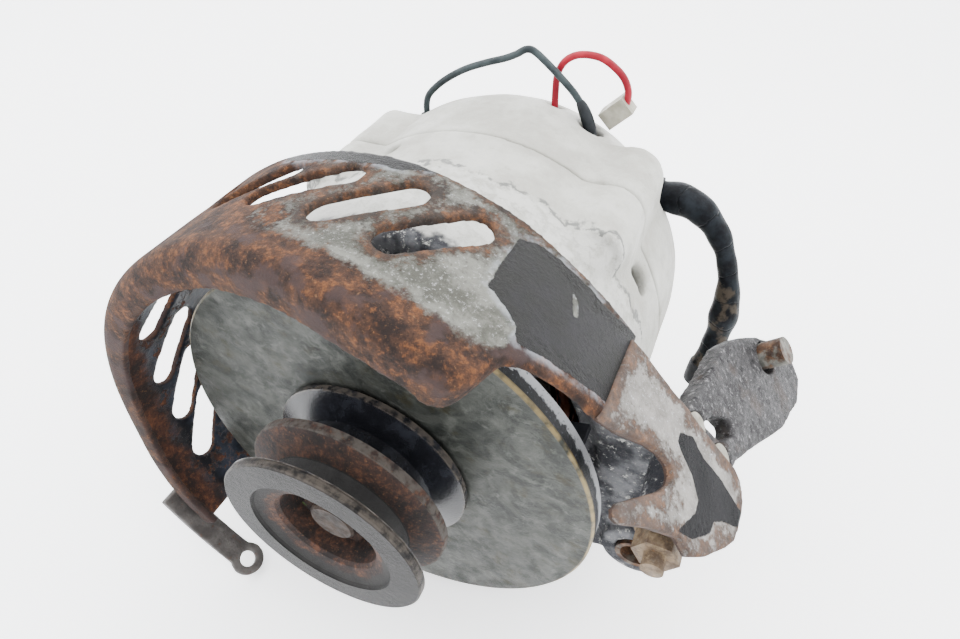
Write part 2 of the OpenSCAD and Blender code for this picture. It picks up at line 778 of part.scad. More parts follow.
// an open coil spring from the brush up to the holder's roof
module brush_spring(y) {
    low = ring_r + brush_gap + brush_h + 0.3;
    high = holder_top - 0.3;
    steps = spring_turns * 12;
    tube([for (i = [0:steps])
        [1.9 * cos(360 * spring_turns * i / steps),
            y + ring_w / 2 + 1.9 * sin(360 * spring_turns * i / steps),
            low + (high - low) * i / steps]], 0.6, 6, [0, 0, 1]);
}

module front_brush() brush(ring_y[0]);

module rear_brush() brush(ring_y[1]);

module front_brush_spring() color([0.62, 0.62, 0.60]) brush_spring(ring_y[0]);

module rear_brush_spring() color([0.62, 0.62, 0.60]) brush_spring(ring_y[1]);

drive_end_bracket();
slip_ring_end_bracket();
stator_core();
stator_windings();
stator_leads();
front_bearing_outer_ring();
bearing_retainer();
retainer_screws();
rear_bearing_outer_ring();
through_bolts();
pivot_bush();
negative_heatsink();
positive_heatsink();
rectifier_diodes();
rectifier_spacers();
voltage_regulator();
brush_holder();
brush_holder_screws();
output_stud();
output_stud_insulator();
output_stud_nut();
black_lead();
black_lead_sleeve();
red_lead();
lead_grommets();
lead_connector();
harness_grommet();
harness();
harness_boot();
fan_guard();
guard_tongue();
arm_plate();
arm_stud();
arm_washer();
arm_nut();
adjusting_lug();
lug_screws();
lug_bolt();
rotor_shaft();
front_pole_wheel();
rear_pole_wheel();
field_coil();
coil_bobbin();
slip_rings();
slip_ring_insulator();
fan_disc();
fan_blades();
spacer_collar();
pulley();
pulley_key();
pulley_washer();
pulley_nut();
front_bearing_inner_ring();
front_bearing_balls();
rear_bearing_inner_ring();
rear_bearing_balls();
front_brush();
front_brush_spring();
rear_brush();
rear_brush_spring();
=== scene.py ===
import math

import bmesh
import bpy
import numpy as np
from mathutils import Matrix, Vector, noise


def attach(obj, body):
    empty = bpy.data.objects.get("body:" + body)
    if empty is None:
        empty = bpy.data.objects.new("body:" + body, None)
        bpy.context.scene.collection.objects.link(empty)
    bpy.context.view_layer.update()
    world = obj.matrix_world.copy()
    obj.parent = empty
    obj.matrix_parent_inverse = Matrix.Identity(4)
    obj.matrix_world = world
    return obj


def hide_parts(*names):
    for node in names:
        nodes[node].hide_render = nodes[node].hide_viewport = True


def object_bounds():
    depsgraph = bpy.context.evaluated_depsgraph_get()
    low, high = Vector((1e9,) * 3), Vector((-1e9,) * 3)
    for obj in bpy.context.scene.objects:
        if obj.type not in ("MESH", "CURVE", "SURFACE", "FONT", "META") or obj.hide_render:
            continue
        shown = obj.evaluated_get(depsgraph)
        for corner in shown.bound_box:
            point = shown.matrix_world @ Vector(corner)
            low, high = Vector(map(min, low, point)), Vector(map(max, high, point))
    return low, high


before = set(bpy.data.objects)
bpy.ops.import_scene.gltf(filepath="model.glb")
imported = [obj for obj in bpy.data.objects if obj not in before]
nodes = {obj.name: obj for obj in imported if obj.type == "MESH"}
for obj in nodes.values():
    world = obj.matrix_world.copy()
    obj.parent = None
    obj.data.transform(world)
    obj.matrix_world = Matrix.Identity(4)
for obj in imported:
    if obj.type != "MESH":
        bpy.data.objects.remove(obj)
cad_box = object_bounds()
MM = 0.001

# the places that the pieces share with part.scad, in millimetres and degrees
GUARD_X = 3
GUARD_R = 97
GUARD_SHEET = 2.6
GUARD_START = 43.6
GUARD_END = 217
ARM_ANGLE = math.radians(43)
ARM_OUT = Vector((math.cos(ARM_ANGLE), 0, math.sin(ARM_ANGLE)))
ARM_DOWN = Vector((math.sin(ARM_ANGLE), 0, -math.cos(ARM_ANGLE)))


# ---------------------------------------------------------------- camera

def make_camera():
    data = bpy.data.cameras.new("camera")
    camera = bpy.data.objects.new("camera", data)
    bpy.context.scene.collection.objects.link(camera)
    bpy.context.scene.camera = camera
    data.sensor_width = 36
    data.lens = 24.03
    data.clip_start = 0.005
    camera.location = (0.0839, -0.0665, 0.1843)
    camera.rotation_euler = (math.radians(90 - 43.6), 0, math.radians(24.2))


make_camera()


# ---------------------------------------------------------------- mesh helpers

def link(piece):
    bpy.context.scene.collection.objects.link(piece)
    return piece


def solid(name, points, faces):
    """A mesh object from points in millimetres."""
    mesh = bpy.data.meshes.new(name)
    mesh.from_pydata([[c * MM for c in p] for p in points], [], faces)
    mesh.update()
    fixed = bmesh.new()
    fixed.from_mesh(mesh)
    bmesh.ops.recalc_face_normals(fixed, faces=fixed.faces)
    fixed.to_mesh(mesh)
    fixed.free()
    return link(bpy.data.objects.new(name, mesh))


def smooth(piece, angle=40):
    mesh = piece.data
    mesh.polygons.foreach_set("use_smooth", [True] * len(mesh.polygons))
    mesh.set_sharp_from_angle(angle=math.radians(angle))
    mesh.update()
    return piece


def applied(piece):
    """The piece with its modifiers made part of its mesh."""
    graph = bpy.context.evaluated_depsgraph_get()
    mesh = bpy.data.meshes.new_from_object(piece.evaluated_get(graph))
    piece.modifiers.clear()
    piece.data = mesh
    return piece


def modifier(piece, kind, **settings):
    added = piece.modifiers.new(kind.lower(), kind)
    for key, value in settings.items():
        setattr(added, key, value)
    return added


def bevelled(piece, width, segments=3, angle=40):
    modifier(piece, "BEVEL", width=width * MM, segments=segments, limit_method="ANGLE",
             angle_limit=math.radians(angle), harden_normals=False)
    return applied(piece)


def joined(name, parts):
    """One object from several, all in the row frame."""
    whole = bmesh.new()
    for part in parts:
        part.data.transform(part.matrix_world)
        whole.from_mesh(part.data)
        bpy.data.objects.remove(part)
    mesh = bpy.data.meshes.new(name)
    whole.to_mesh(mesh)
    whole.free()
    return link(bpy.data.objects.new(name, mesh))


def coordinates(piece):
    """The mesh's points in millimetres."""
    flat = np.empty(len(piece.data.vertices) * 3)
    piece.data.vertices.foreach_get("co", flat)
    return flat.reshape(-1, 3) / MM


def set_coordinates(piece, points):
    piece.data.vertices.foreach_set("co", (np.asarray(points) * MM).ravel())
    piece.data.update()


def normals(piece):
    flat = np.empty(len(piece.data.vertices) * 3)
    piece.data.vertices.foreach_get("normal", flat)
    return flat.reshape(-1, 3)


def field(piece, name, values):
    """Stores one number for each point, for a material to read."""
    attribute = piece.data.attributes.new(name, "FLOAT", "POINT")
    attribute.data.foreach_set("value", np.asarray(values, dtype=np.float32))


def roughened(piece, size, depth, seed=0):
    """Pits and swells the surface by a smooth noise, in millimetres."""
    points = coordinates(piece)
    along = normals(piece)
    shift = [noise.noise(Vector(p) / size + Vector((seed, seed, seed))) * depth for p in points]
    set_coordinates(piece, points + along * np.array(shift)[:, None])
    return piece


def eased(stops):
    """A smooth function through (x, value) stops."""
    xs, ys = np.array(stops, dtype=float).T
    slopes = np.gradient(ys, xs)

    def value(x):
        x = np.clip(x, xs[0], xs[-1])
        i = np.clip(np.searchsorted(xs, x, side="right") - 1, 0, len(xs) - 2)
        h = xs[i + 1] - xs[i]
        t = (x - xs[i]) / h
        return ((1 + 2 * t) * (1 - t) ** 2 * ys[i] + t * (1 - t) ** 2 * h * slopes[i]
                + t * t * (3 - 2 * t) * ys[i + 1] + t * t * (t - 1) * h * slopes[i + 1])

    return value


def curved(points, steps=6, closed=False):
    """A Catmull-Rom curve through the points."""
    p = np.array(points, dtype=float)
    n = len(p)
    out = []
    for i in range(n if closed else n - 1):
        pick = (lambda k: p[k % n]) if closed else (lambda k: p[min(max(k, 0), n - 1)])
        a, b, c, d = pick(i - 1), pick(i), pick(i + 1), pick(i + 2)
        for s in range(steps):
            t = s / steps
            out.append(0.5 * (2 * b + (c - a) * t + (2 * a - 5 * b + 4 * c - d) * t * t
                              + (3 * b - a - 3 * c + d) * t ** 3))
    if not closed:
        out.append(p[-1])
    return np.array(out)


def inside(points, outline):
    """Signed distance from flat points to a closed outline, above 0 inside it."""
    a = np.asarray(outline, dtype=float)
    b = np.roll(a, -1, axis=0)
    best = np.full(len(points), 1e9)
    within = np.zeros(len(points), dtype=bool)
    for s, e in zip(a, b):
        d = e - s
        t = np.clip(((points - s) @ d) / max(d @ d, 1e-9), 0, 1)
        best = np.minimum(best, np.linalg.norm(points - s - t[:, None] * d, axis=1))
        crosses = (s[1] > points[:, 1]) != (e[1] > points[:, 1])
        at = s[0] + (points[:, 1] - s[1]) * d[0] / (d[1] if abs(d[1]) > 1e-9 else 1e-9)
        within ^= crosses & (points[:, 0] < at)
    return np.where(within, best, -best)


def tube(name, route, radius, sides=16, flat=1.0, steps=6):
    """A round tube along a smooth curve through the route.

    radius is a number or a function of the distance along it."""
    path = curved(route, steps)
    reach = np.concatenate([[0], np.cumsum(np.linalg.norm(np.diff(path, axis=0), axis=1))])
    heading = np.gradient(path, axis=0)
    heading /= np.linalg.norm(heading, axis=1)[:, None]
    side = np.cross(heading[0], (0, 1, 0))
    if np.linalg.norm(side) < 0.2:
        side = np.cross(heading[0], (1, 0, 0))
    points, along = [], []
    for at, ahead, run in zip(path, heading, reach):
        side = side - ahead * (side @ ahead)
        side /= np.linalg.norm(side)
        up = np.cross(ahead, side)
        r = radius(run) if callable(radius) else radius
        for k in range(sides):
            a = 2 * math.pi * k / sides
            points.append(at + r * (math.cos(a) * side * flat + math.sin(a) * up))
            along.append(run)
    rings = len(path)
    faces = [[i * sides + k, i * sides + (k + 1) % sides, (i + 1) * sides + (k + 1) % sides,
              (i + 1) * sides + k] for i in range(rings - 1) for k in range(sides)]
    faces.append(list(range(sides))[::-1])
    faces.append([(rings - 1) * sides + k for k in range(sides)])
    piece = solid(name, points, faces)
    field(piece, "along", along)
    return smooth(piece, 50), reach[-1], path


# ---------------------------------------------------------------- materials

SHADE = 0.55


def linear(r, g, b, shade=SHADE):
    """The paint that looks like this screen colour, 0 to 255 each, under the studio's bright light."""
    return tuple(((c / 255 + 0.055) / 1.055) ** 2.4 * shade if c > 10 else c / 255 / 12.92 for c in (r, g, b)) + (1,)


class Paint:
    """One material's nodes. Every texture is placed by the object's own coordinates, in metres."""

    def __init__(self, name):
        self.material = bpy.data.materials.new(name)
        self.material.use_nodes = True
        tree = self.material.node_tree
        self.nodes = tree.nodes
        self.links = tree.links
        self.shader = self.nodes["Principled BSDF"]
        self.place = self.nodes.new("ShaderNodeTexCoord").outputs["Object"]
        self.seed = 0

    def put(self, socket, value):
        if isinstance(value, bpy.types.NodeSocket):
            self.links.new(value, socket)
        else:
            socket.default_value = value

    def noise(self, size, detail=4, roughness=0.55, stretch=(1, 1, 1), distortion=0.0):
        """Noise with features of about the given size, in millimetres."""
        self.seed += 1
        mapping = self.nodes.new("ShaderNodeMapping")
        self.put(mapping.inputs["Vector"], self.place)
        mapping.inputs["Location"].default_value = (self.seed * 1.37, self.seed * 0.71, self.seed * 2.11)
        mapping.inputs["Scale"].default_value = stretch
        node = self.nodes.new("ShaderNodeTexNoise")
        self.put(node.inputs["Vector"], mapping.outputs["Vector"])
        node.inputs["Scale"].default_value = 1 / (size * MM)
        node.inputs["Detail"].default_value = detail
        node.inputs["Roughness"].default_value = roughness
        node.inputs["Distortion"].default_value = distortion
        return node.outputs["Fac"]

    def ramp(self, value, low, high, start=0.0, end=1.0):
        """value from low to high becomes start to end, smoothly."""
        node = self.nodes.new("ShaderNodeMapRange")
        node.interpolation_type = "SMOOTHSTEP"
        for socket, number in zip(node.inputs, (value, low, high, start, end)):
            self.put(socket, number)
        return node.outputs["Result"]

    def math(self, operation, a, b=0.0):
        node = self.nodes.new("ShaderNodeMath")
        node.operation = operation
        self.put(node.inputs[0], a)
        self.put(node.inputs[1], b)
        return node.outputs[0]

    def add(self, a, b):
        return self.math("ADD", a, b)

    def sub(self, a, b):
        return self.math("SUBTRACT", a, b)

    def mul(self, a, b):
        return self.math("MULTIPLY", a, b)

    def most(self, a, b):
        return self.math("MAXIMUM", a, b)

    def mix(self, share, a, b):
        """Colour a where share is 0, and b where it is 1."""
        node = self.nodes.new("ShaderNodeMix")
        node.data_type = "RGBA"
        self.put(node.inputs[0], share)
        self.put(node.inputs[6], a)
        self.put(node.inputs[7], b)
        return node.outputs[2]

    def blend(self, share, a, b):
        """Number a where share is 0, and b where it is 1."""
        node = self.nodes.new("ShaderNodeMix")
        self.put(node.inputs[0], share)
        self.put(node.inputs[2], a)
        self.put(node.inputs[3], b)
        return node.outputs[0]

    def axis(self, name):
        """A coordinate in millimetres."""
        node = self.nodes.new("ShaderNodeSeparateXYZ")
        self.put(node.inputs[0], self.place)
        return self.mul(node.outputs[name], 1000.0)

    def radius(self):
        """Distance from the shaft's axis in millimetres."""
        x, z = self.axis("X"), self.axis("Z")
        return self.math("SQRT", self.add(self.mul(x, x), self.mul(z, z)))

    def read(self, name):
        """A number stored on the mesh by field()."""
        node = self.nodes.new("ShaderNodeAttribute")
        node.attribute_name = name
        return node.outputs["Fac"]

    def bump(self, height, distance, strength=1.0, normal=None):
        node = self.nodes.new("ShaderNodeBump")
        node.inputs["Strength"].default_value = strength
        node.inputs["Distance"].default_value = distance * MM
        self.put(node.inputs["Height"], height)
        if normal is not None:
            self.put(node.inputs["Normal"], normal)
        return node.outputs["Normal"]

    def done(self, color, roughness, metallic=0.0, normal=None, **more):
        self.put(self.shader.inputs["Base Color"], color)
        self.put(self.shader.inputs["Roughness"], roughness)
        self.put(self.shader.inputs["Metallic"], metallic)
        self.put(self.shader.inputs["Specular IOR Level"], 0.15)
        if normal is not None:
            self.put(self.shader.inputs["Normal"], normal)
        for name, value in more.items():
            self.put(self.shader.inputs[name.replace("_", " ")], value)
        return self.material


def rust(p, light=(142, 90, 52), mid=(82, 57, 43), dark=(40, 31, 28)):
    """(colour, height) of a flaky rust."""
    coarse = p.noise(7, 8, 0.72)
    fine = p.noise(1.9, 8, 0.78)
    color = p.mix(p.ramp(coarse, 0.38, 0.6), linear(*dark), linear(*mid))
    color = p.mix(p.ramp(p.add(p.mul(coarse, 0.35), p.mul(fine, 0.65)), 0.5, 0.62, 0.0, 0.7), color, linear(*light))
    color = p.mix(p.ramp(fine, 0.46, 0.36, 0.0, 0.75), color, linear(*dark))
    color = p.mix(p.ramp(p.noise(1.0, 6, 0.75), 0.58, 0.7, 0.0, 0.5), color, linear(168, 122, 78))
    return color, p.add(coarse, p.mul(fine, 0.8))


def cast_alloy():
    """Weathered aluminium casting with dirt, chalky corrosion in front and black paint on its face."""
    p = Paint("cast_alloy")
    y = p.axis("Y")
    color = p.mix(p.ramp(p.noise(22, 6, 0.65), 0.36, 0.66), linear(202, 201, 191), linear(232, 232, 224))
    color = p.mix(p.ramp(p.noise(5, 6, 0.7), 0.52, 0.76, 0.0, 0.4), color, linear(168, 166, 156))
    spots = p.ramp(p.noise(2.2, 4, 0.7), 0.68, 0.76, 0.0, 0.7)
    color = p.mix(spots, color, linear(128, 124, 114))
    chalk_line = p.add(y, p.mul(p.sub(p.noise(8, 6, 0.65), 0.5), 20.0))
    chalk = p.ramp(chalk_line, 102.0, 99.0)
    chalk = p.mul(chalk, p.ramp(p.noise(5, 8, 0.75), 0.36, 0.54))
    color = p.mix(p.mul(chalk, 0.9), color, linear(240, 240, 234))
    line = p.mul(p.ramp(chalk_line, 104.0, 102.4), p.ramp(chalk_line, 100.4, 101.6))
    color = p.mix(p.mul(line, p.ramp(p.noise(7, 4), 0.42, 0.52, 0.0, 0.7)), color, linear(84, 88, 90))
    front = p.ramp(p.add(y, p.mul(p.sub(p.noise(5, 5), 0.5), 12.0)), 68.0, 64.0)
    soot = p.mix(p.ramp(p.noise(11, 5), 0.42, 0.62), linear(58, 59, 64), linear(132, 133, 136))
    paint = p.mul(front, p.ramp(p.noise(2.4, 7, 0.75), 0.66, 0.56))
    color = p.mix(paint, color, soot)
    height = p.add(p.noise(1.1, 5, 0.7), p.add(p.mul(p.noise(9, 4), 0.8), p.mul(chalk, 0.5)))
    rough = p.blend(chalk, p.blend(paint, p.ramp(p.noise(6, 4), 0.3, 0.7, 0.42, 0.62), 0.35), 0.85)
    return p.done(color, rough, p.blend(p.most(chalk, paint), 0.35, 0.0), p.bump(height, 0.35))


def fan_metal():
    """Bare steel disc with soft brown and green stains, a golden worn edge and a flaking black rim."""
    p = Paint("fan_metal")
    y = p.axis("Y")
    r = p.radius()
    stretch = (1, 1, 1.15)
    color = p.mix(p.ramp(p.noise(12, 7, 0.68, stretch, 0.6), 0.36, 0.64), linear(52, 55, 52), linear(88, 90, 85))
    color = p.mix(p.ramp(p.noise(6, 8, 0.75, stretch, 0.5), 0.5, 0.68, 0.0, 0.7), color, linear(114, 116, 110))
    color = p.mix(p.ramp(p.noise(9, 6, 0.7, stretch), 0.54, 0.7, 0.0, 0.7), color, linear(66, 62, 44))
    color = p.mix(p.ramp(p.noise(3.2, 7, 0.75), 0.58, 0.74, 0.0, 0.6), color, linear(34, 36, 33))
    golden = p.mul(p.ramp(r, 75.2, 75.9), p.ramp(p.noise(5, 4), 0.3, 0.6))
    color = p.mix(p.mul(golden, 0.85), color, linear(178, 158, 112))
    rim = p.ramp(y, 34.9, 35.3)
    bare = p.ramp(p.add(y, p.mul(p.sub(p.noise(3, 6, 0.7), 0.5), 7.0)), 38.0, 38.9)
    rim_color = p.mix(bare, linear(30, 31, 35), linear(196, 198, 200))
    rim_color = p.mix(p.ramp(p.noise(0.9, 5), 0.6, 0.7), rim_color, linear(92, 96, 104))
    color = p.mix(rim, color, rim_color)
    height = p.add(p.noise(0.8, 6, 0.7), p.mul(p.noise(8, 4), 0.6))
    rough = p.blend(rim, p.ramp(p.noise(6, 5), 0.3, 0.7, 0.36, 0.56), p.blend(bare, 0.3, 0.45))
    return p.done(color, rough, p.blend(rim, 0.55, p.mul(bare, 0.6)), p.bump(height, 0.12))


def pulley_metal():
    """Worn grey face, a rusty front groove, a glossy black rear groove and worn rims."""
    p = Paint("pulley_metal")
    y = p.axis("Y")
    r = p.radius()
    rusty, rust_height = rust(p, (112, 72, 50), (62, 42, 34), (32, 25, 24))
    grey = p.mix(p.ramp(p.noise(9, 6, 0.6), 0.35, 0.65), linear(26, 25, 25), linear(42, 41, 40))
    turned = p.nodes.new("ShaderNodeTexNoise")
    turned.noise_dimensions = "1D"
    p.put(turned.inputs["W"], p.mul(r, 3.0))
    grey = p.mix(p.ramp(turned.outputs["Fac"], 0.4, 0.7, 0.0, 0.3), grey, linear(58, 56, 54))
    grey = p.mix(p.ramp(p.noise(2.4, 6, 0.7), 0.6, 0.75, 0.0, 0.5), grey, linear(18, 17, 17))
    black = p.mix(p.ramp(p.noise(6, 5), 0.4, 0.7), linear(26, 27, 31), linear(44, 46, 52))
    black = p.mix(p.ramp(p.noise(1.1, 5, 0.6), 0.7, 0.76), black, linear(110, 112, 118))
    wave = p.mul(p.sub(p.noise(6, 5), 0.5), 3.0)
    in_front = p.mul(p.ramp(p.add(y, wave), 2.6, 3.6), p.ramp(p.add(y, wave), 19.6, 18.4))
    wet = p.mul(p.ramp(y, 7.2, 6.2), p.ramp(p.noise(8, 4), 0.42, 0.52))
    front_color = p.mix(wet, rusty, black)
    color = p.mix(in_front, black, front_color)
    face = p.mul(p.ramp(y, 2.9, 2.2), p.ramp(r, 24.4, 25.0))
    color = p.mix(face, color, grey)
    color = p.mix(p.mul(p.ramp(r, 34.2, 34.8), p.ramp(p.noise(3, 5), 0.35, 0.6)), color, linear(86, 80, 74))
    dish = p.mul(p.ramp(r, 25.2, 24.8), p.ramp(y, 19.9, 18.0))
    dish_color = p.mix(p.ramp(p.add(r, p.mul(p.sub(p.noise(5, 5), 0.5), 7.0)), 20.5, 22.0), rusty, grey)
    color = p.mix(dish, color, dish_color)
    glossy = p.most(p.mul(p.sub(1.0, in_front), 1.0), wet)
    glossy = p.mul(glossy, p.sub(1.0, p.most(face, dish)))
    rough = p.blend(glossy, p.blend(face, 0.8, 0.42), 0.2)
    metal = p.mul(face, 0.15)
    height = p.add(p.mul(rust_height, p.sub(1.0, glossy)), p.mul(p.noise(0.6, 4), 0.2))
    return p.done(color, rough, metal, p.bump(height, 0.35), Specular_IOR_Level=p.blend(face, 0.3, 0.06))


def guard_outside():
    """Galvanised sheet, rusty at the front lip, the slots and the left side, with black paint left in two places."""
    p = Paint("guard_outside")
    rusty, rust_height = rust(p)
    zinc = p.mix(p.ramp(p.noise(9, 7, 0.7), 0.38, 0.62), linear(84, 84, 76), linear(134, 134, 126))
    zinc = p.mix(p.ramp(p.noise(1.1, 7, 0.8), 0.54, 0.66, 0.0, 0.9), zinc, linear(190, 191, 189))
    zinc = p.mix(p.ramp(p.noise(1.7, 7, 0.75), 0.56, 0.68, 0.0, 0.75), zinc, linear(84, 84, 78))
    ragged = p.sub(p.noise(6, 7, 0.7), 0.5)
    fine = p.sub(p.noise(1.8, 6, 0.7), 0.5)
    edge = p.read("edge")
    near = p.ramp(p.add(edge, p.add(p.mul(ragged, 18.0), p.mul(fine, 9.0))), 5.2, 1.2)
    lip = p.ramp(p.add(p.read("front"), p.add(p.mul(ragged, 10.0), p.mul(fine, 5.0))), 7.5, 4.5)
    left = p.ramp(p.add(p.read("turn"), p.add(p.mul(ragged, 46.0), p.mul(fine, 22.0))), 92.0, 104.0)
    heavy = p.most(p.most(p.mul(near, 0.9), lip), left)
    color = p.mix(heavy, zinc, rusty)
    brown = p.ramp(p.add(p.read("turn"), p.mul(ragged, 60.0)), 128.0, 158.0)
    brown = p.mul(brown, p.ramp(p.noise(12, 5), 0.35, 0.6))
    color = p.mix(p.mul(brown, 0.85), color, linear(58, 46, 44))
    bruise = p.mul(p.ramp(p.noise(11, 4), 0.52, 0.62), p.mul(lip, 0.8))
    color = p.mix(bruise, color, linear(70, 56, 54))
    paint_edge = p.add(p.read("paint"), p.add(p.mul(ragged, 2.6), p.mul(fine, 1.2)))
    paint = p.ramp(paint_edge, -0.1, 0.15)
    halo = p.mul(p.ramp(paint_edge, -2.6, -0.2), p.sub(1.0, paint))
    halo = p.mul(halo, p.ramp(p.noise(4, 5), 0.4, 0.6))
    color = p.mix(p.mul(halo, 0.5), color, linear(178, 184, 192))
    dusty = p.mix(p.ramp(p.noise(9, 6, 0.7), 0.4, 0.7), linear(10, 10, 13), linear(26, 25, 28))
    dusty = p.mix(p.ramp(p.noise(0.9, 5, 0.8), 0.64, 0.72, 0.0, 0.6), dusty, linear(60, 56, 52))
    color = p.mix(paint, color, dusty)
    height = p.add(p.mul(rust_height, heavy), p.add(p.mul(p.noise(1.2, 6, 0.75), 0.7), p.mul(paint, 0.8)))
    rough = p.blend(paint, p.blend(heavy, p.ramp(fine, -0.2, 0.2, 0.42, 0.6), 0.85), 0.42)
    metal = p.mul(p.sub(1.0, p.most(heavy, paint)), 0.45)
    return p.done(color, rough, metal, p.bump(height, 0.4))


def guard_inside():
    """Black paint with rust breaking through and wet-looking dark blue patches."""
    p = Paint("guard_inside")
    rusty, rust_height = rust(p, (132, 84, 56), (84, 54, 42), (46, 36, 34))
    black = p.mix(p.ramp(p.noise(9, 5), 0.4, 0.65), linear(26, 27, 32), linear(52, 56, 66))
    black = p.mix(p.ramp(p.noise(5, 6, 0.7), 0.62, 0.72, 0.0, 0.6), black, linear(112, 120, 134))
    ragged = p.sub(p.noise(8, 7, 0.7), 0.5)
    lip = p.ramp(p.add(p.read("front"), p.mul(ragged, 16.0)), 11.0, 5.0)
    broken = p.most(lip, p.ramp(p.add(ragged, p.mul(p.sub(p.noise(2, 5), 0.5), 0.4)), 0.02, 0.12))
    color = p.mix(broken, black, rusty)
    height = p.add(p.mul(rust_height, broken), p.mul(p.noise(1.5, 5), 0.4))
    return p.done(color, p.blend(broken, 0.28, 0.8), 0.0, p.bump(height, 0.35))


def strap_steel():
    """Dull grey-brown strap with a rusty edge."""
    p = Paint("strap_steel")
    color = p.mix(p.ramp(p.noise(8, 6, 0.6), 0.35, 0.65), linear(78, 74, 72), linear(108, 104, 101))
    color = p.mix(p.ramp(p.noise(3, 6, 0.7), 0.56, 0.7, 0.0, 0.7), color, linear(92, 62, 48))
    color = p.mix(p.ramp(p.noise(1, 4), 0.62, 0.72, 0.0, 0.5), color, linear(54, 50, 48))
    return p.done(color, p.ramp(p.noise(5, 4), 0.3, 0.7, 0.4, 0.65), 0.4,
                  p.bump(p.noise(1.2, 6, 0.7), 0.25))


def arm_sheet():
    """Pale bare steel with rusty edges, a strip of black paint that peels beside the ridge, and painted shade in dark
    brown on the side towards the shaft and on the bent tab.
    """
    p = Paint("arm_sheet")
    rusty, rust_height = rust(p, (142, 100, 68), (98, 70, 54), (64, 50, 44))
    base = p.mix(p.ramp(p.noise(7, 6, 0.65), 0.35, 0.65), linear(128, 124, 118), linear(168, 164, 158))
    base = p.mix(p.ramp(p.noise(0.9, 6, 0.75), 0.55, 0.68), base, linear(206, 208, 212))
    base = p.mix(p.ramp(p.noise(1.6, 6, 0.7), 0.58, 0.7, 0.0, 0.8), base, linear(92, 82, 78))
    ragged = p.sub(p.noise(5, 7, 0.7), 0.5)
    fine = p.sub(p.noise(1.4, 6, 0.7), 0.5)
    near = p.ramp(p.add(p.read("edge"), p.add(p.mul(ragged, 24.0), p.mul(fine, 10.0))), 5.0, 1.0)
    color = p.mix(p.mul(near, 0.85), base, rusty)
    paint_edge = p.add(p.read("paint"), p.add(p.mul(ragged, 1.4), p.mul(fine, 0.8)))
    paint = p.ramp(paint_edge, -0.1, 0.15)
    dark = p.mix(p.ramp(p.noise(8, 5), 0.4, 0.65), linear(5, 5, 7), linear(14, 14, 17))
    color = p.mix(paint, color, dark)
    # painted shade: dark brown laid over the plate's side towards the shaft and its bent tab, where shade falls
    under = p.ramp(p.read("under"), 0.4, 0.6)
    color = p.mix(p.mul(under, 0.8), color, linear(56, 44, 40))
    height = p.add(p.mul(rust_height, near), p.add(p.mul(p.noise(0.9, 6, 0.75), 0.7), p.mul(paint, 0.7)))
    rough = p.blend(paint, p.blend(near, 0.5, 0.82), 0.36)
    return p.done(color, rough, p.mul(p.sub(1.0, p.most(near, paint)), 0.4), p.bump(height, 0.35),
                  Specular_IOR_Level=p.blend(paint, 0.15, 0.04))


def pitted_iron():
    """Dark grey forging with pale pits."""
    p = Paint("pitted_iron")
    color = p.mix(p.ramp(p.noise(7, 6, 0.65), 0.36, 0.64), linear(50, 49, 50), linear(82, 81, 82))
    color = p.mix(p.ramp(p.noise(1.5, 7, 0.75), 0.54, 0.66), color, linear(158, 157, 158))
    color = p.mix(p.ramp(p.noise(2.4, 6, 0.7), 0.52, 0.64, 0.0, 0.9), color, linear(30, 29, 31))
    color = p.mix(p.ramp(p.noise(12, 4), 0.56, 0.68, 0.0, 0.4), color, linear(84, 68, 58))
    height = p.add(p.noise(1.2, 6, 0.75), p.noise(4, 4))
    return p.done(color, p.ramp(p.noise(2, 5), 0.3, 0.7, 0.42, 0.66), 0.05, p.bump(height, 0.5), Specular_IOR_Level=0.1)


def rusty_fastener(name="rusty_fastener", light=(170, 122, 80), mid=(124, 84, 58), dark=(70, 50, 40)):
    p = Paint(name)
    color, height = rust(p, light, mid, dark)
    color = p.mix(p.ramp(p.noise(4, 5), 0.52, 0.7, 0.0, 0.6), color, linear(128, 122, 112))
    return p.done(color, p.ramp(p.noise(3, 5), 0.3, 0.7, 0.5, 0.8), 0.25, p.bump(height, 0.25))


def bolt_end():
    """A bolt's end: dull grey top with rusty threads round it."""
    p = Paint("bolt_end")
    color, height = rust(p, (138, 104, 78), (98, 74, 58), (62, 48, 42))
    grey = p.mix(p.ramp(p.noise(2.2, 5), 0.4, 0.6), linear(112, 112, 106), linear(138, 136, 128))
    color = p.mix(p.ramp(p.noise(6, 4), 0.44, 0.58), grey, color)
    return p.done(color, 0.62, 0.35, p.bump(height, 0.2))


def plain_metal(name, light, dark, metallic=0.8, rough=(0.25, 0.45), size=6, depth=0.05, stain=None):
    p = Paint(name)
    color = p.mix(p.ramp(p.noise(size, 6, 0.6), 0.35, 0.65), linear(*dark), linear(*light))
    if stain:
        color = p.mix(p.ramp(p.noise(size / 3, 6, 0.7), 0.56, 0.72, 0.0, 0.7), color, linear(*stain))
    return p.done(color, p.ramp(p.noise(size / 2, 5), 0.3, 0.7, *rough), metallic,
                  p.bump(p.noise(size / 6, 5), depth))


def plain_plastic(name, light, dark, rough=(0.4, 0.6), size=6, depth=0.04, **more):
    p = Paint(name)
    color = p.mix(p.ramp(p.noise(size, 5, 0.6), 0.35, 0.65), linear(*dark), linear(*light))
    color = p.mix(p.ramp(p.noise(size / 5, 5, 0.7), 0.64, 0.74, 0.0, 0.5), color, linear(*light))
    return p.done(color, p.ramp(p.noise(size / 2, 4), 0.3, 0.7, *rough), 0.0,
                  p.bump(p.noise(size / 5, 4), depth), **more)


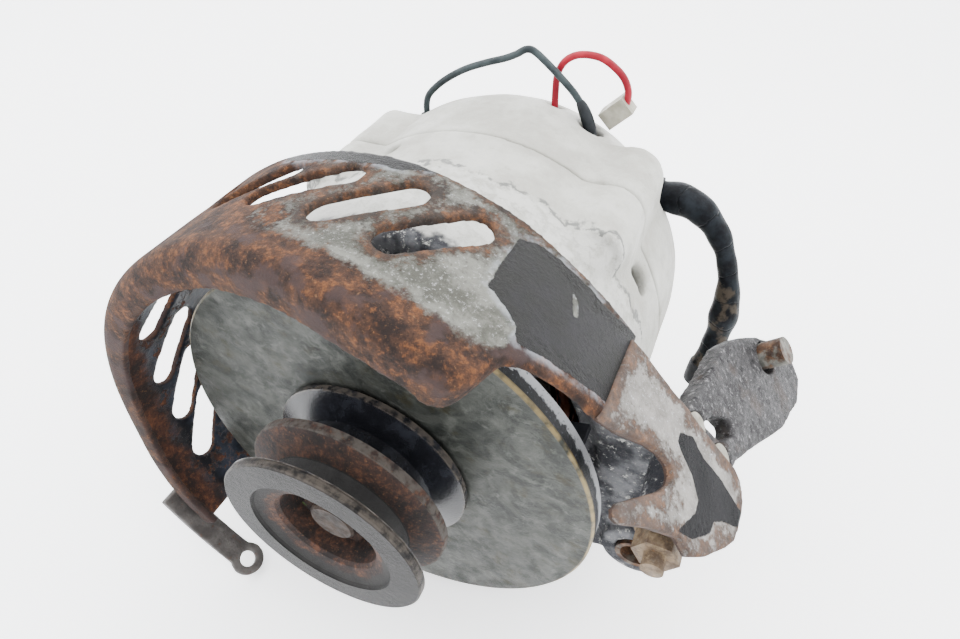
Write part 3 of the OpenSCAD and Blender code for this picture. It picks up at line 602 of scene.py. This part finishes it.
def winding_wire(name, axis):
    """Varnished copper wire, laid in turns."""
    p = Paint(name)
    wave = p.nodes.new("ShaderNodeTexWave")
    wave.wave_type = "BANDS"
    wave.bands_direction = axis
    p.put(wave.inputs["Vector"], p.place)
    wave.inputs["Scale"].default_value = 1 / (1.1 * MM) / 6.28
    wave.inputs["Distortion"].default_value = 3.0
    color = p.mix(p.ramp(wave.outputs["Fac"], 0.1, 0.7), linear(64, 30, 18), linear(170, 92, 54))
    color = p.mix(p.ramp(p.noise(10, 4), 0.5, 0.7, 0.0, 0.6), color, linear(70, 40, 28))
    return p.done(color, 0.34, 0.5, p.bump(wave.outputs["Fac"], 0.4))


def laminations():
    p = Paint("laminations")
    sheet = p.math("FRACT", p.mul(p.axis("Y"), 2.0))
    color = p.mix(p.ramp(sheet, 0.0, 0.3), linear(40, 38, 38), linear(92, 88, 86))
    color = p.mix(p.ramp(p.noise(6, 6), 0.52, 0.68, 0.0, 0.7), color, linear(96, 66, 50))
    return p.done(color, 0.5, 0.6, p.bump(sheet, 0.1))


def wound_tape():
    """Black cloth tape wound round the loom, dusty, with brown worn bands."""
    p = Paint("wound_tape")
    along = p.read("along")
    turn = p.math("FRACT", p.mul(p.add(along, p.mul(p.noise(14, 3), 14.0)), 0.08))
    ridge = p.mul(p.ramp(turn, 0.0, 0.06), p.ramp(turn, 1.0, 0.96))
    color = p.mix(p.ramp(p.noise(8, 5, 0.6), 0.36, 0.66), linear(14, 16, 20), linear(38, 43, 48))
    worn = p.mul(p.ramp(p.noise(9, 4, 0.6), 0.5, 0.6), p.ramp(along, 50.0, 62.0))
    color = p.mix(p.mul(worn, 0.8), color, linear(78, 70, 60))
    color = p.mix(p.mul(p.sub(1.0, ridge), 0.6), color, linear(14, 15, 18))
    height = p.add(p.mul(ridge, 0.5), p.add(p.mul(p.noise(3, 5), 0.5), p.noise(9, 3)))
    return p.done(color, p.ramp(p.noise(6, 4), 0.3, 0.7, 0.36, 0.55), 0.0, p.bump(height, 0.5), Specular_IOR_Level=0.06)


def studio_floor():
    p = Paint("studio_floor")
    color = p.mix(p.ramp(p.noise(300, 3), 0.3, 0.7), linear(250, 251, 252, 1), linear(253, 253, 254, 1))
    return p.done(color, 0.6, 0.0, None, Emission_Color=(1, 1, 1, 1), Emission_Strength=0.7)


# ---------------------------------------------------------------- leads and harness

HARNESS_ROUTE = [(50, 170, 40), (56, 170, 40), (62, 170, 40), (68, 170, 39.8), (74, 170, 38), (79.5, 169.5, 34.5),
                 (84.5, 169, 29.5), (88.7, 168, 23.5), (92, 167, 16.5), (94.7, 165.5, 9), (96.4, 163.5, 1),
                 (97.2, 161.5, -7), (97.3, 159.5, -15), (96.6, 157.3, -23), (95.4, 155, -31)]
HARNESS_TIP = [(95.4, 155, -31), (94.9, 154.3, -34), (94.3, 153.6, -37), (93.5, 152.8, -41)]
BLACK_ROUTE = [(-45, 166, 52), (-46, 166, 58), (-45, 166, 64), (-41, 166, 69), (-35, 166, 74), (-27, 166, 79),
               (-18, 166, 83), (-10, 166, 86), (-5, 166, 88.5), (-2, 166, 90.5), (0.5, 166, 91), (3, 166, 90),
               (6, 166, 88), (10, 166, 85), (15, 166, 81), (19, 166, 77.5), (22.5, 165.3, 74)]
SLEEVE_ROUTE = [(22, 165.4, 74.6), (25, 164, 71), (27.6, 162.8, 66.5), (28.8, 162.4, 62)]
RED_ROUTE = [(12, 167, 64), (11.5, 167.2, 70), (10.8, 168.6, 76), (10.8, 169.4, 82), (13, 169.6, 87),
             (17, 169.8, 90), (22, 170, 91), (27.5, 170, 90.5), (32.5, 170, 88), (36.2, 170, 85),
             (38.4, 170, 81.5), (39.2, 170, 78), (38.8, 170, 73.5)]
LEAD_R = 1.4


def give(piece, material, body="housing", slot=None, *replaced):
    """Finishes a piece: its material, the body it rides on, and the CAD nodes it stands for. The slot argument is not
    used.
    """
    piece.data.materials.clear()
    for one in material if isinstance(material, (list, tuple)) else [material]:
        piece.data.materials.append(one)
    if replaced:
        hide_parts(*replaced)
    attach(piece, body)
    return piece


def loom_radius(run):
    """The loom's radius: thick where it leaves the housing, thin half way, and thick again at its worn kink."""
    thick = 1.6 * math.exp(-((run - 18) / 11) ** 2) + 1.2 * math.exp(-((run - 76) / 7) ** 2)
    return 5.3 + thick - 1.1 * math.exp(-((run - 52) / 12) ** 2) + 0.2 * math.sin(run * 0.5)


def sleeve_radius(run):
    return 2.5 - 0.9 * math.exp(-run / 2.5)


def boot_radius(run):
    return 6.4 - 0.0125 * run * run


def make_leads():
    harness, harness_run, harness_path = tube("harness_loom", HARNESS_ROUTE, loom_radius, 28, 0.95)
    give(harness, wound_tape(), "housing", "tape", "harness")
    boot, _, _ = tube("harness_end_boot", HARNESS_TIP, boot_radius, 28, 0.9)
    boot = bevelled(boot, 1.6, 4, 60)
    smooth(boot, 60)
    give(boot, plain_plastic("boot_rubber", (52, 54, 58), (28, 29, 32), (0.45, 0.65), 7, 0.1),
         "housing", "black_rubber", "harness_boot")
    black, black_run, black_path = tube("black_wire", BLACK_ROUTE, LEAD_R, 14)
    give(black, plain_plastic("grey_wire", (72, 82, 84), (44, 52, 55), (0.35, 0.5), 8, 0.03),
         "housing", "grey_insulation", "black_lead")
    sleeve, _, _ = tube("black_wire_sleeve", SLEEVE_ROUTE, sleeve_radius, 18)
    give(sleeve, plain_plastic("sleeve_rubber", (42, 46, 50), (26, 29, 32), (0.4, 0.55), 5, 0.05),
         "housing", "black_rubber", "black_lead_sleeve")
    red, red_run, red_path = tube("red_wire", RED_ROUTE, LEAD_R, 14)
    give(red, plain_plastic("red_wire", (190, 44, 62), (150, 26, 44), (0.3, 0.45), 8, 0.03),
         "housing", "red_insulation", "red_lead")


make_leads()


# ---------------------------------------------------------------- pieces cut from their CAD shapes

def softened(name, sources, voxel, rounds, relax=0.5):
    """A new piece with the shape of CAD nodes or of other meshes, with its edges rounded by an even remesh."""
    whole = bmesh.new()
    for source in sources:
        whole.from_mesh(source.data)
    mesh = bpy.data.meshes.new(name)
    whole.to_mesh(mesh)
    whole.free()
    piece = link(bpy.data.objects.new(name, mesh))
    modifier(piece, "REMESH", mode="VOXEL", voxel_size=voxel * MM, use_smooth_shade=True)
    modifier(piece, "SMOOTH", factor=relax, iterations=rounds)
    applied(piece)
    piece.data.polygons.foreach_set("use_smooth", [True] * len(piece.data.polygons))
    return piece


def plane_of_arm(points):
    """Points of the row frame as (distance out, distance down, y) of the arm plate's plane."""
    return np.stack([points @ np.array(ARM_OUT), points @ np.array(ARM_DOWN), points[:, 1]], axis=1)


# ---------------------------------------------------------------- guard

# angle round the shaft, then the value in millimetres
GUARD_FRONT = eased([(43, 26.8), (50, 25.1), (55, 23.5), (59, 21), (60.4, 19), (61, 16), (61.8, 12), (63, 9),
                     (64.5, 7.8), (70, 8), (77, 8.4), (85, 10), (93, 12.3), (102, 14), (112, 15.5), (126, 14.5),
                     (145, 13.5), (165, 13), (186, 11.4), (196, 9.5), (204, 8.4), (218, 8)])
GUARD_REAR = eased([(43, 57), (52, 58), (60, 59.5), (69, 62), (77, 63.2), (88, 65.4), (97, 66.5), (110, 67),
                    (135, 66), (165, 64), (218, 61)])
GUARD_LIP = eased([(43, 2.9), (59.4, 2.9), (60.4, 3.4), (61.2, 6.5), (62, 10), (63, 12), (64.5, 12.6), (72, 12.8),
                   (90, 12.6), (112, 11.6), (140, 11), (170, 10.6), (218, 10)])
GUARD_BEND = eased([(43, 2.8), (60.2, 2.8), (61.6, 4.2), (63, 5), (66, 5.2), (218, 5)])
SLOT_HALF = 4.8
# each slot's two round ends, as (angle, y)
SLOTS = [((82, 34.5), (73.4, 50)), ((94.2, 37.5), (84.9, 52.5)), ((108.5, 42), (97, 54.5)),
         ((119, 45), (109.5, 55.5)), ((133.5, 39), (124.5, 52)), ((148, 34.5), (138.5, 48.5)),
         ((164, 33), (154.5, 47.5)), ((178.5, 32.5), (169, 47)), ((190.5, 32), (181, 46)), ((202, 29.5), (193, 43.5))]
PAINT_A = [(67.7, 55), (67.6, 46), (67.6, 35), (64, 33), (61.7, 30.4), (61, 27), (60, 26), (56, 27.6), (51, 29.2),
           (45, 31.2), (42, 33), (42, 57), (48, 55.5), (52.4, 55.3), (57, 56.3), (61, 56.8), (64.4, 57)]
PAINT_B = [(84, 64), (90, 60.5), (98, 60.5), (107, 61), (114, 63), (116, 69), (84, 69)]
CRACK = [(55.5, 49), (56.5, 50.5), (55.2, 44.5), (54.2, 44)]


def guard_profile(angle):
    """The guard's section at one angle, as (radius, y) points round the sheet."""
    front, rear = float(GUARD_FRONT(angle)), float(GUARD_REAR(angle))
    lip, bend = float(GUARD_LIP(angle)), float(GUARD_BEND(angle))
    centre_r, centre_y = GUARD_R - bend, front + bend
    thin = bend - GUARD_SHEET
    loop = [(GUARD_R, rear + (centre_y - rear) * t / 30) for t in range(30)]
    quarter = [math.pi / 2 * t / 8 for t in range(9)]
    loop += [(centre_r + bend * math.cos(a), centre_y - bend * math.sin(a)) for a in quarter]
    loop += [(centre_r - (lip - bend) * t / 6, front) for t in range(1, 7)]
    loop += [(centre_r - (lip - bend) * t / 6, front + GUARD_SHEET) for t in range(6, 0, -1)]
    loop += [(centre_r + thin * math.cos(a), centre_y - thin * math.sin(a)) for a in quarter[::-1]]
    loop += [(GUARD_R - GUARD_SHEET, centre_y + (rear - centre_y) * t / 30) for t in range(1, 31)]
    return loop


def guard_blank():
    angles = np.concatenate([np.arange(GUARD_START, 59, 1), np.arange(59, 67, 0.25), np.arange(67, GUARD_END + 1, 1)])
    points = []
    for angle in angles:
        turn = math.radians(angle)
        points += [(GUARD_X + r * math.cos(turn), y, r * math.sin(turn)) for r, y in guard_profile(angle)]
    size = len(guard_profile(90))
    faces = [[i * size + k, i * size + (k + 1) % size, (i + 1) * size + (k + 1) % size, (i + 1) * size + k]
             for i in range(len(angles) - 1) for k in range(size)]
    faces += [list(range(size))[::-1], [(len(angles) - 1) * size + k for k in range(size)]]
    return solid("guard_blank", points, faces)


def slot_cutter(ends):
    """A stadium prism that points at the guard's axis."""
    (a0, y0), (a1, y1) = ends
    middle = math.radians((a0 + a1) / 2)
    out = Vector((math.cos(middle), 0, math.sin(middle)))
    round_ = Vector((-math.sin(middle), 0, math.cos(middle)))
    centre = Vector((GUARD_X, (y0 + y1) / 2, 0))
    half = math.radians(a0 - a1) / 2 * GUARD_R
    start, stop = np.array([half, (y0 - y1) / 2]), np.array([-half, (y1 - y0) / 2])
    tilt = math.atan2(*(stop - start)[::-1])
    rim = []
    for k in range(24):
        a = tilt + math.pi / 2 + math.pi * k / 23
        rim.append(start + SLOT_HALF * np.array([math.cos(a), math.sin(a)]))
    for k in range(24):
        a = tilt - math.pi / 2 + math.pi * k / 23
        rim.append(stop + SLOT_HALF * np.array([math.cos(a), math.sin(a)]))
    points = [centre + out * r + round_ * u + Vector((0, v, 0)) for r in (GUARD_R - 4, GUARD_R + 3) for u, v in rim]
    n = len(rim)
    faces = [[k, (k + 1) % n, n + (k + 1) % n, n + k] for k in range(n)] + [list(range(n))[::-1],
                                                                           list(range(n, 2 * n))]
    return solid("slot_cutter", points, faces)


def segment_gap(points, start, stop):
    d = stop - start
    t = np.clip(((points - start) @ d) / (d @ d), 0, 1)
    return np.linalg.norm(points - start - t[:, None] * d, axis=1)


def unrolled(pairs):
    """(angle, y) pairs as millimetres along the guard's outside, and y."""
    return np.array([(math.radians(a) * GUARD_R, y) for a, y in pairs])


def make_guard():
    blank = guard_blank()
    cutters = joined("slot_cutters", [slot_cutter(ends) for ends in SLOTS])
    modifier(blank, "BOOLEAN", operation="DIFFERENCE", solver="EXACT", object=cutters)
    applied(blank)
    bpy.data.objects.remove(cutters)
    guard = softened("guard_sheet", [blank], 0.75, 6)
    bpy.data.objects.remove(blank)
    points = coordinates(guard)
    facing = normals(guard)
    across = points[:, 0] - GUARD_X
    angle = np.degrees(np.arctan2(points[:, 2], across)) % 360
    radius = np.hypot(across, points[:, 2])
    flat = np.stack([np.radians(angle) * GUARD_R, points[:, 1]], axis=1)
    front, rear = GUARD_FRONT(angle), GUARD_REAR(angle)
    slot = np.min([segment_gap(flat, *unrolled(ends)) for ends in SLOTS], axis=0) - SLOT_HALF
    in_lip = points[:, 1] < front + GUARD_BEND(angle)
    field(guard, "edge", np.minimum(slot, rear - points[:, 1]))
    field(guard, "front", np.where(in_lip, -2, points[:, 1] - front - GUARD_BEND(angle)))
    field(guard, "turn", angle)
    patch = np.maximum(inside(flat, unrolled(PAINT_A)), inside(flat, unrolled(PAINT_B)))
    field(guard, "paint", np.minimum(patch, -inside(flat, unrolled(CRACK))))
    outward = facing[:, 0] * across / radius + facing[:, 2] * points[:, 2] / radius
    hidden = np.where(in_lip, facing[:, 1] > 0.5, outward < -0.5)
    give(guard, [guard_outside(), guard_inside()], "housing", "rusty_sheet", "fan_guard")
    corner = np.array([hidden[list(face.vertices)].mean() > 0.5 for face in guard.data.polygons])
    guard.data.polygons.foreach_set("material_index", corner.astype(np.int32))
    guard.data.update()


make_guard()


# ---------------------------------------------------------------- arm plate, its nut, and the lug

# (distance down the plate's slope, y)
PEELED = [(25, 45), (30, 48), (37, 46), (46, 46), (56.5, 44), (56, 39), (49, 35.5), (46, 33), (45, 29), (39, 23),
          (33, 21), (35, 25), (38, 30), (38, 34), (33, 38), (29, 40), (25, 42)]
ARM_EDGE = [(-0.8, 26), (-0.8, 54), (50, 54.5), (54, 53), (56, 50), (57, 44), (56, 35), (53, 30.5), (45.5, 23),
            (40, 18.8), (34.5, 20.3), (24.5, 15.5), (18.5, 11.5), (15, 9.6), (13.2, 10), (12.3, 11.5), (13.2, 14),
            (19, 20), (24.5, 26), (26.8, 30), (26.8, 32.5), (25, 34), (21.5, 34.4), (16, 33), (6, 28)]


def make_arm():
    arm = softened("arm_sheet", [nodes["arm_plate"]], 0.5, 8)
    points = coordinates(arm)
    out, down, y = plane_of_arm(points).T
    flat = np.stack([down, y], axis=1)
    field(arm, "edge", inside(flat, ARM_EDGE))
    field(arm, "paint", inside(flat, PEELED))
    # under marks the plate's side towards the shaft and its bent tab, which get the painted shade
    field(arm, "under", (out < 98.2).astype(float))
    roughened(arm, 9, 0.3, 3)
    give(arm, arm_sheet(), "housing", "flaking_sheet", "arm_plate")
    lug = softened("lug_forging", [nodes["adjusting_lug"]], 0.7, 10)
    roughened(lug, 3, 0.12, 5)
    roughened(lug, 14, 0.5, 7)
    give(lug, pitted_iron(), "housing", "dark_iron", "adjusting_lug")
    tongue = softened("guard_strap_eye", [nodes["guard_tongue"]], 0.5, 6)
    give(tongue, strap_steel(), "housing", "grey_strap", "guard_tongue")


make_arm()


# ---------------------------------------------------------------- housing

BOSS_ANGLE = 48


def ear(angle, front, rear, point):
    """A bolt boss's skirts: a rounded ridge on the casting that narrows to a point in front of the boss."""
    turn = math.radians(angle)
    out, side = np.array([math.cos(turn), 0, math.sin(turn)]), np.array([-math.sin(turn), 0, math.cos(turn)])
    half = [(-19, 68), (-15, 74.2), (-11.5, 77.4), (-9, 80.6), (-6, 83), (-2, 84.2)]
    section = half + [(-u, r) for u, r in half[::-1]]
    points = []
    for y, share in ((point, 0.0), ((point + front) / 2, 0.55), (front, 1.0), (rear, 1.0)):
        for u, r in section:
            low = 73 - abs(u) / 4
            points.append(out * (low + (r - low) * share) + side * u * (0.35 + 0.65 * share) + np.array([0, y, 0]))
    n = len(section)
    faces = [[i * n + k, i * n + (k + 1) % n, (i + 1) * n + (k + 1) % n, (i + 1) * n + k]
             for i in range(3) for k in range(n)] + [list(range(n))[::-1], [3 * n + k for k in range(n)]]
    return solid("ear", points, faces)


def cast_half(name, node, front, rear, point, seed):
    """A bracket with its four ears blended in."""
    ears = [ear(BOSS_ANGLE + 90 * k, front, rear, point) for k in range(4)]
    half = softened(name, [nodes[node], *ears], 0.95, 14)
    for one in ears:
        bpy.data.objects.remove(one)
    roughened(half, 14, 0.3, seed)
    return half


def make_housing():
    cast = cast_alloy()
    front = cast_half("drive_end_casting", "drive_end_bracket", 108, 127.5, 86, 1)
    give(front, cast, "housing", "bare_alloy", "drive_end_bracket")
    rear = cast_half("slip_ring_end_casting", "slip_ring_end_bracket", 129.5, 157, 128.5, 2)
    give(rear, cast, "housing", "bare_alloy", "slip_ring_end_bracket")


make_housing()


# ---------------------------------------------------------------- materials of the CAD nodes

def paint_nodes(material, *names):
    for name in names:
        mesh = nodes[name].data
        mesh.materials.clear()
        mesh.materials.append(material)


def paint_all():
    bearing = plain_metal("bearing_steel", (196, 197, 200), (160, 162, 166), 0.95, (0.12, 0.26))
    zinc = plain_metal("zinc_steel", (176, 172, 158), (140, 136, 122), 0.8, (0.28, 0.5), 4, 0.05, (120, 104, 84))
    paint_nodes(laminations(), "stator_core")
    paint_nodes(winding_wire("stator_copper", "Y"), "stator_windings", "stator_leads")
    paint_nodes(winding_wire("field_copper", "Y"), "field_coil")
    paint_nodes(bearing, "front_bearing_outer_ring", "front_bearing_inner_ring", "rear_bearing_outer_ring",
                "rear_bearing_inner_ring", "front_bearing_balls", "rear_bearing_balls")
    paint_nodes(zinc, "bearing_retainer", "retainer_screws", "brush_holder_screws", "output_stud",
                "output_stud_nut", "lug_screws")
    paint_nodes(rusty_fastener("rusty_screws", (150, 110, 78), (112, 84, 64), (70, 54, 46)), "through_bolts",
                "pivot_bush")
    paint_nodes(rusty_fastener("arm_hardware", (178, 156, 126), (150, 130, 106), (100, 84, 70)),
                "arm_nut", "arm_washer", "arm_stud")
    paint_nodes(bolt_end(), "lug_bolt")
    paint_nodes(plain_metal("sink_alloy", (186, 188, 190), (156, 158, 160), 0.9, (0.3, 0.5), 9), "negative_heatsink",
                "positive_heatsink")
    paint_nodes(plain_metal("diode_case", (150, 146, 138), (112, 108, 102), 0.8, (0.25, 0.4), 3), "rectifier_diodes")
    paint_nodes(plain_plastic("phenolic", (112, 56, 40), (82, 36, 26), (0.35, 0.5), 4), "rectifier_spacers",
                "slip_ring_insulator", "coil_bobbin")
    paint_nodes(plain_plastic("black_plastic", (46, 47, 50), (26, 27, 29), (0.35, 0.55), 5), "voltage_regulator",
                "brush_holder", "output_stud_insulator")
    paint_nodes(plain_plastic("grommet_rubber", (44, 45, 48), (24, 25, 27), (0.5, 0.7), 4), "lead_grommets",
                "harness_grommet")
    paint_nodes(plain_plastic("connector_nylon", (206, 202, 186), (172, 168, 150), (0.35, 0.55), 6, 0.05),
                "lead_connector")
    paint_nodes(plain_metal("shaft_steel", (64, 50, 40), (32, 26, 22), 0.05, (0.5, 0.7), 5, 0.08, (52, 34, 26)),
                "rotor_shaft", "pulley_key", "spacer_collar")
    paint_nodes(plain_metal("pole_iron", (104, 98, 92), (70, 62, 58), 0.7, (0.4, 0.6), 8, 0.08, (98, 64, 46)),
                "front_pole_wheel", "rear_pole_wheel")
    paint_nodes(plain_metal("ring_copper", (196, 124, 88), (160, 90, 60), 0.95, (0.15, 0.35), 4), "slip_rings")
    fan = fan_metal()
    paint_nodes(fan, "fan_disc")
    paint_nodes(plain_plastic("fan_paint", (44, 46, 52), (26, 27, 31), (0.3, 0.5), 6, 0.06), "fan_blades")
    paint_nodes(pulley_metal(), "pulley")
    paint_nodes(pulley_nut_paint(), "pulley_nut", "pulley_washer")
    paint_nodes(plain_plastic("carbon", (56, 56, 60), (34, 34, 37), (0.3, 0.5), 2), "front_brush", "rear_brush")
    paint_nodes(plain_metal("spring_steel", (170, 166, 156), (130, 126, 118), 0.9, (0.2, 0.35), 2),
                "front_brush_spring", "rear_brush_spring")


def pulley_nut_paint():
    """Rusty nut with a fleck of green marking paint."""
    p = Paint("pulley_nut_rust")
    color, height = rust(p, (82, 58, 42), (48, 35, 30), (26, 21, 20))
    green = p.mul(p.ramp(p.noise(4, 4), 0.54, 0.6), p.ramp(p.axis("Z"), -2.0, 2.0))
    color = p.mix(green, color, linear(70, 96, 44))
    return p.done(color, 0.8, 0.0, p.bump(height, 0.25), Specular_IOR_Level=0.05)


paint_all()


# ---------------------------------------------------------------- floor and light

def make_stage():
    low = cad_box[0][2] - 0.0005
    size, depth, height = 2.4, 0.5, 1.8
    sweep = [(-size, low), (depth, low)]
    sweep += [(depth + 0.35 * math.sin(math.radians(a)), low + 0.35 - 0.35 * math.cos(math.radians(a)))
              for a in range(6, 91, 6)]
    sweep += [(depth + 0.35, height)]
    points = [(x / MM, y / MM, z / MM) for x in (-3, 3) for y, z in sweep]
    n = len(sweep)
    floor = solid("floor", points, [[k, k + 1, n + k + 1, n + k] for k in range(n - 1)])
    smooth(floor, 60)
    floor.data.materials.append(studio_floor())


def area_light(name, at, towards, size, power, color=(1, 1, 1)):
    data = bpy.data.lights.new(name, "AREA")
    data.shape = "RECTANGLE"
    data.size, data.size_y = size
    data.energy = power
    data.color = color
    lamp = link(bpy.data.objects.new(name, data))
    lamp.location = at
    lamp.rotation_euler = (Vector(towards) - Vector(at)).to_track_quat("-Z", "Y").to_euler()


def make_lights():
    area_light("top_light", (-0.1, 0.25, 1.1), (0, 0.1, 0), (2.2, 2.2), 52)
    area_light("left_light", (-1.0, -0.3, 0.6), (0, 0.08, 0), (1.2, 1.2), 20, (0.97, 0.98, 1))
    area_light("right_light", (1.0, 0.1, 0.7), (0, 0.08, 0), (1.2, 1.2), 16)
    area_light("front_light", (0.1, -1.0, 0.5), (0, 0.05, 0), (1.0, 0.6), 4)
    world = bpy.data.worlds.new("soft_sky")
    bpy.context.scene.world = world
    world.use_nodes = True
    world.node_tree.nodes["Background"].inputs["Color"].default_value = (0.96, 0.97, 1, 1)
    world.node_tree.nodes["Background"].inputs["Strength"].default_value = 1.7


make_stage()
make_lights()
